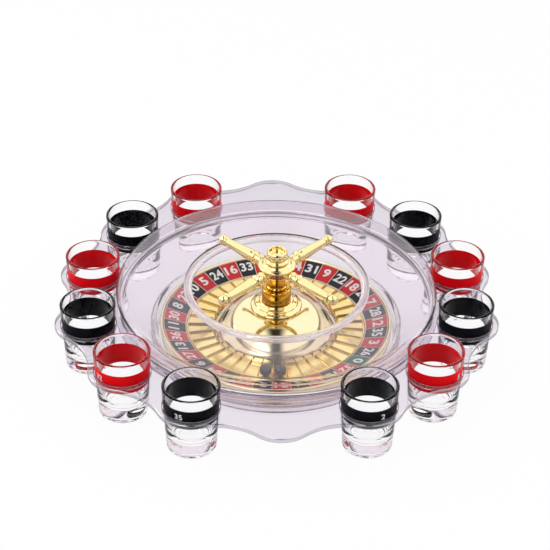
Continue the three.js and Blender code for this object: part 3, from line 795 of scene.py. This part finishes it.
def make_frets():
    """A fret is a bar that runs outwards. Its section is an arch, a half circle on an upright stem,
    and it is lower at its two ends. All 37 are turned copies about the axis."""
    t = np.linspace(0, np.pi, 9)
    half = FRET_THICKNESS / 2
    top, root = PLATE_TOP + FRET_HEIGHT, PLATE_TOP - FRET_ROOT
    section = np.stack([half * np.cos(t), top - half + half * np.sin(t)], 1)
    section = np.concatenate([[[half, root]], section, [[-half, root]]])
    first, last = FRET_INNER + 0.4, FRET_OUTER - 0.6
    stations = np.array([first, first + FRET_BEVEL, last - FRET_BEVEL, last])
    drop = np.array([FRET_BEVEL_DROP, 0.0, 0.0, FRET_BEVEL_DROP])
    rows, count = len(stations), len(section)
    along = np.repeat(stations[:, None], count, 1)
    across = np.repeat(section[None, :, 0], rows, 0)
    up = np.minimum(section[None, :, 1], top - drop[:, None])
    one = np.stack([along, across, up], 2).reshape(-1, 3)
    sides = wrapped_faces(rows, count)
    caps = [list(range(count))[::-1], list(range(len(one) - count, len(one)))]
    points, faces = [], []
    for n in range(POCKETS):
        a = -math.pi / 2 + ROTOR_YAW + n * POCKET_STEP
        c, s = math.cos(a), math.sin(a)
        turn = np.array([[c, s, 0], [-s, c, 0], [0, 0, 1]])
        points.append(one @ turn)
        faces += [[v + n * len(one) for v in f] for f in sides + caps]
    mesh = bpy.data.meshes.new("frets")
    mesh.from_pydata(np.concatenate(points) * MM, [], faces)
    piece = link("frets", mesh)
    clean(piece, 1e-7)
    mesh.shade_smooth()
    mesh.set_sharp_from_angle(angle=math.radians(40))
    mesh.materials.append(fret_gold_painted_shade)
    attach(piece, "wheel")


make_frets()


# ---- cone: the plated dome in the middle of the rotor, with an upright drum edge ----
# The ball rebounds from it into the pockets. Three screws hold it from below.

CONE_RADIUS, CONE_SHOULDER, CONE_TOP_RADIUS = 42.6, 42.1, 17.6
DRUM_RADIUS = CONE_RADIUS - 0.35
SLOPE_FOOT, CONE_TOP = 11.3, 25.4
CROWN = 3.2  # how far the slope bulges above a straight line
CONE_WALL, CONE_INSET = 1.6, 1.2  # the inner slope is the outer one, lower and further in
CONE_BORE = 9.4


def cone_profile():
    """The slope is straight from shoulder to top, plus CROWN sin(pi t) in height as t goes 0 to 1."""
    t = np.linspace(0, 1, 13)
    slope_r = CONE_SHOULDER + (CONE_TOP_RADIUS - CONE_SHOULDER) * t
    slope_z = SLOPE_FOOT + (CONE_TOP - SLOPE_FOOT) * t + CROWN * np.sin(np.pi * t)
    outside = list(zip(slope_r, slope_z))
    inside = [(r - CONE_INSET, z - CONE_WALL) for r, z in outside[::-1]]
    return [
        (CONE_RADIUS - CONE_WALL, PLATE_LOW, 0.1), (CONE_RADIUS, PLATE_LOW, 0.2),
        (CONE_RADIUS, PLATE_TOP, 0.2), (DRUM_RADIUS, 8.6, 0.1), (DRUM_RADIUS, 10.6, 0.5), *outside,
        (CONE_BORE, CONE_TOP, 0.2), (CONE_BORE, CONE_TOP - CONE_WALL, 0.2), *inside,
    ]


turned_piece("dome", "cone", pale_gold, cone_profile(), 192)


# ---- turret: turned and plated flange, column, neck, hub and finial ----
# They stack up from the cone, and a stud draws them together. The column and neck are dipped in
# a deeper, amber gold.

STUD_BORE = 2.6
COLUMN_RADIUS, COLUMN_BORE, COLUMN_BORE_TOP = 9.8, 6.8, 35.6
amber = plated("amber_gold_plating", (0.66, 0.38, 0.07), (0.58, 0.31, 0.04), 0.08, 0.03)


def packed_foot(node):
    """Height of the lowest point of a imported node, in millimetres."""
    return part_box(node)[0].z / MM


def turret_piece(name, node, finish, profile):
    """A turned piece of the turret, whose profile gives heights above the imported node's foot."""
    foot = packed_foot(node)
    turned_piece(name, node, finish, [(r, foot + z, *rest) for r, z, *rest in profile])


column_bore = COLUMN_BORE_TOP - packed_foot("turret_column")
turret_piece("flange", "turret_flange", rich_gold, [
    (9.4, 0, 0.1), (16.8, 0, 0.3), (17.4, 0.7, 0.4), (16.9, 1.5, 0.4), (14.6, 2.4, 0.4), (14.2, 3.3, 0.4),
    (11.7, 4.1, 0.3), (11.1, 5.0, 0.3), (9.4, 5.0, 0.1),
])
turret_piece("column", "turret_column", amber, [
    (COLUMN_BORE, 0, 0.1), (9.5, 0, 0.2), (COLUMN_RADIUS, 0.6, 0.3), (COLUMN_RADIUS, 9.2, 0.4),
    (9.0, 9.9, 0.4), (STUD_BORE, 9.9, 0.1), (STUD_BORE, column_bore, 0.1), (COLUMN_BORE, column_bore, 0.1),
])
turret_piece("neck", "turret_neck", amber, [
    (STUD_BORE, 0), (7.0, 0, 0.3), (7.0, 0.8, 0.3), (6.1, 1.6, 0.4), (6.1, 8.0, 0.4), (7.3, 9.0, 0.2),
    (STUD_BORE, 9.0),
])
turret_piece("hub", "turret_hub", rich_gold, [
    (STUD_BORE, 0), (8.3, 0, 0.4), (9.2, 1.2, 0.5), (9.2, 6.6, 0.5), (12.5, 7.2, 0.4), (12.6, 7.8, 0.3),
    (12.4, 8.5, 0.4), (9.9, 9.3, 0.4), (8.8, 10.4, 0.3), (STUD_BORE, 10.4),
])
turret_piece("finial_cup", "finial", rich_gold, [
    (0, 3.4), (STUD_BORE, 3.4), (STUD_BORE, 0), (7.7, 0, 0.3), (7.8, 1.2, 0.4), (6.3, 2.2, 0.4),
    (7.1, 3.6, 0.8), (7.2, 5.2, 0.8), (6.8, 7.2, 0.6), (6.1, 8.2, 0.4), (5.2, 8.2, 0.3), (4.9, 5.8, 0.5),
    (4.0, 5.2, 0.4), (0, 5.2),
])


# ---- spinner arms: four turned handles that screw into the hub ----
# From the hub outwards: shank, two beads, a ring, a tapering grip, a small ring and a ball.

ARMS = 4
ARM_HEIGHT = packed_foot("turret_hub") + 4.2
ARM_TIP = 53.6
ARM_BALL = 3.6


def arm_profile():
    """(radius, distance from the wheel's axis) along the arm, with the ball end as an arc."""
    stem = [
        (0.0, 4.9), (3.0, 4.9), (3.0, 12.8), (3.6, 13.0, 0.4), (4.05, 14.0, 0.5), (4.0, 15.1, 0.5),
        (3.3, 15.7, 0.3), (3.7, 16.9, 0.6), (3.3, 18.2, 0.3), (3.5, 18.5, 0.2), (4.4, 19.1, 0.4),
        (4.4, 20.6, 0.4), (3.4, 21.6, 0.4), (4.1, 23.6, 1.0), (2.7, 45.6, 0.6), (3.3, 46.3, 0.3),
        (3.5, 47.0, 0.3), (3.0, 47.5, 0.2),
    ]
    t = np.radians(np.linspace(-48, 90, 14))
    head = np.stack([ARM_BALL * np.cos(t), ARM_TIP - ARM_BALL + ARM_BALL * np.sin(t)], 1)
    return np.concatenate([rounded(stem), head])


def make_arm(count):
    """Turned upright, laid down along +X, turned to its quarter and lifted to the hub."""
    arm = revolved(f"arm_{count}", arm_profile(), 64)
    lay_down = Matrix.Rotation(math.pi / 2, 4, "Y")
    turn = Matrix.Rotation((count - 0.5) * 2 * math.pi / ARMS, 4, "Z")
    arm.data.transform(Matrix.Translation((0, 0, ARM_HEIGHT * MM)) @ turn @ lay_down)
    arm.data.materials.append(rich_gold)
    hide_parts(f"spinner_arm_{count}")
    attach(arm, "wheel")


for count in range(1, ARMS + 1):
    make_arm(count)


# ---- spindle and fixings: the pin, washer, bush and nut of the wheel, and its screws and stud ----
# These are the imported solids, with the finish of bright plated steel and sintered bronze.


def machined(name, colour, roughness):
    """Turned metal: its polish changes in fine rings along the axis."""
    finish = Finish(name)
    shade = finish.tint(finish.noise(300, 3.0), colour, tuple(0.85 * c for c in colour))
    polish = finish.noise(900, 2.0, (1, 1, 6)) * 0.15 + roughness
    return finish.done(finish.principled(Base_Color=shade, Metallic=1.0, Roughness=polish))


bright_steel = machined("bright_steel", (0.62, 0.62, 0.63), 0.2)
sintered_bronze = machined("sintered_bronze", (0.60, 0.40, 0.20), 0.38)
screws = [f"rotor_screw_{n}" for n in (1, 2, 3)]
steel = dict.fromkeys(["spindle", "thrust_washer", "spindle_nut", "turret_stud", *screws], bright_steel)
for node, metal in {**steel, "spindle_bush": sintered_bronze}.items():
    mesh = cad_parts[node].data
    mesh.materials.clear()
    mesh.materials.append(metal)


# ---- balls: two polished steel balls, in the pockets either side of the front fret ----
# They are dark, bright where the lamps are mirrored, and lightly scuffed from rolling.


def make_ball(node):
    """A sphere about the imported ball's middle: its path (sin v, cos v) times the radius, from the
    lowest point to the highest, is turned about +Z."""
    low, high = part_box(node)
    middle, radius = (low + high) / 2, (high.z - low.z) / 2
    v = np.linspace(np.pi, 0, 33)
    path = np.stack([np.sin(v), np.cos(v)], 1) * radius / MM
    path[[0, -1], 0] = 0
    piece = revolved(node.replace("ball", "steel_ball"), path, 64)
    piece.data.transform(Matrix.Translation(middle))
    finish = Finish(node + "_steel")
    scuffs = finish.noise(700, 4.0) * 0.12 + 0.08
    shade = finish.tint(finish.noise(400, 2.0), (0.11, 0.10, 0.10), (0.08, 0.073, 0.073))
    steel = finish.principled(Base_Color=shade, Metallic=1.0, Roughness=scuffs)
    piece.data.materials.append(finish.done(steel))
    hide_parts(node)
    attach(piece, node)


make_ball("ball_1")
make_ball("ball_2")


# ---- shot glasses: pressed glass with a thick foot, a painted band and a printed number ----
# The bands are black and red by turns, from the front round either side, below a clear lip; the
# number is on the outward side.

GLASS_HEIGHT = 47.5
RIM_RADIUS = 18.3
BASE_RADIUS = 15.75
WALL = 1.9
GLASS_ROUND = 0.8  # height taken by the rounding at the foot, and at the lip
BAND_LOW, BAND_HIGH = 25.5, 39.7
BAND_PROUD, BAND_FOOT = 0.06, 0.005  # off the glass: the face of the band, and its thin edges
BAND_BEVEL = 0.1
BAND_DIGIT_HEIGHT, BAND_DIGIT_MIDDLE = 4.2, 34.4
NUMBERS = (2, 5, 8, 11, 14, 17, 20, 23, 26, 29, 32, 35)


def glass_radius(z):
    """Outer radius at a height: a straight taper from foot to rim."""
    return BASE_RADIUS + (RIM_RADIUS - BASE_RADIUS) * (z - GLASS_ROUND) / (GLASS_HEIGHT - 2 * GLASS_ROUND)


def inside_radius(z):
    return glass_radius(z) - WALL


def glass_finish():
    """Clear glass with the slight ripple of the mould; its mirror is faint beside what shows through."""
    finish = Finish("pressed_glass")
    ripple = finish.bump(finish.noise(70, 2.0), 0.05, 0.0003)
    smear = finish.noise(120, 3.0) * 0.02 + 0.004
    body = finish.principled(
        Base_Color=(0.985, 0.985, 0.99), Roughness=smear, IOR=1.5, Transmission_Weight=1.0,
        Specular_Tint=(0.1, 0.1, 0.1), Normal=ripple,
    )
    return lit_through(finish, body, (0.93, 0.93, 0.94))


def enamel(name, colour):
    """Fired enamel: glossy, with a slightly uneven coat."""
    finish = Finish(name)
    shade = finish.tint(finish.noise(90, 2.0), colour, tuple(0.8 * c for c in colour))
    peel = finish.bump(finish.noise(500, 2.0), 0.08, 0.0001)
    return finish.done(finish.principled(
        Base_Color=shade, Roughness=0.3, Specular_IOR_Level=0.05, Normal=peel
    ))


pressed_glass = glass_finish()
enamels = {
    "red": enamel("enamel_red", (0.82, 0.002, 0.007)),
    "black": enamel("enamel_black", (0.0025, 0.0025, 0.005)),
}


def glass_path():
    """From the hollow under the foot outwards, up the side, over the lip and down inside to the
    cup's floor, which rises to the wall in a wide curve."""
    return rounded([
        (0, 0.8), (9.0, 0.5, 2.0), (12.4, 0.0, 0.8), (BASE_RADIUS - 0.9, 0.0, 0.5), (BASE_RADIUS, 1.0, 1.0),
        (glass_radius(8.6) + 0.05, 8.6, 1.0), (RIM_RADIUS, GLASS_HEIGHT - GLASS_ROUND, 0.5),
        (RIM_RADIUS - 0.5, GLASS_HEIGHT, 0.5), (RIM_RADIUS - WALL + 0.4, GLASS_HEIGHT, 0.5),
        (inside_radius(46.4), 46.4, 0.6), (inside_radius(17.0), 17.0, 5.0),
        (inside_radius(10.0) - 2.2, 9.6, 3.4), (7.6, 7.4, 1.0), (0, 7.2),
    ], 6)


def band_path():
    """The band's outer face follows the taper; its edges turn down onto the glass."""
    low, high = BAND_LOW + BAND_BEVEL, BAND_HIGH - BAND_BEVEL
    return rounded([
        (glass_radius(BAND_LOW) + BAND_FOOT, BAND_LOW), (glass_radius(low) + BAND_PROUD, low, 0.04),
        (glass_radius(high) + BAND_PROUD, high, 0.04), (glass_radius(BAND_HIGH) + BAND_FOOT, BAND_HIGH),
    ])


def make_glass(count, place, text):
    """A glass at its place in the tray: the number curves round the outward side of the band."""
    node = f"glass_{count:02d}"
    a = place_angle(place)
    stand = Matrix.Translation(Vector((math.cos(a), math.sin(a), 0)) * WHEEL_PLACES_RADIUS)
    colour = "black" if min(place, PLACES - place) % 2 else "red"
    body = revolved(f"shot_glass_{count:02d}", glass_path(), 96)
    body.data.materials.append(pressed_glass)
    band = revolved(f"band_{count:02d}", band_path(), 96)
    band.data.materials.append(enamels[colour])
    flat, polygons = numeral(text, BAND_DIGIT_HEIGHT, 0.012)
    z = BAND_DIGIT_MIDDLE + flat[:, 1]
    r = glass_radius(z) + BAND_PROUD + OVERPRINT
    u = a + flat[:, 0] / r
    points = np.stack([r * np.cos(u), r * np.sin(u), z], 1)
    mark = ink_layer(f"glass_number_{count:02d}", points, polygons, white_ink)
    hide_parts(node)
    for piece in (body, band, mark):
        piece.data.transform(stand)
        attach(piece, node)


glass_places = [place for place in range(PLACES) if place not in GRIPS]
for count, (place, number) in enumerate(zip(glass_places, NUMBERS), 1):
    make_glass(count, place, str(number))


# ---- picture settings ----
# Light crosses up to a dozen clear walls on its way through a glass, the cover and the bowl.

bpy.context.scene.view_settings.view_transform = "Standard"
bpy.context.scene.cycles.transparent_max_bounces = 32
bpy.context.scene.cycles.transmission_bounces = 16
bpy.context.scene.cycles.max_bounces = 16
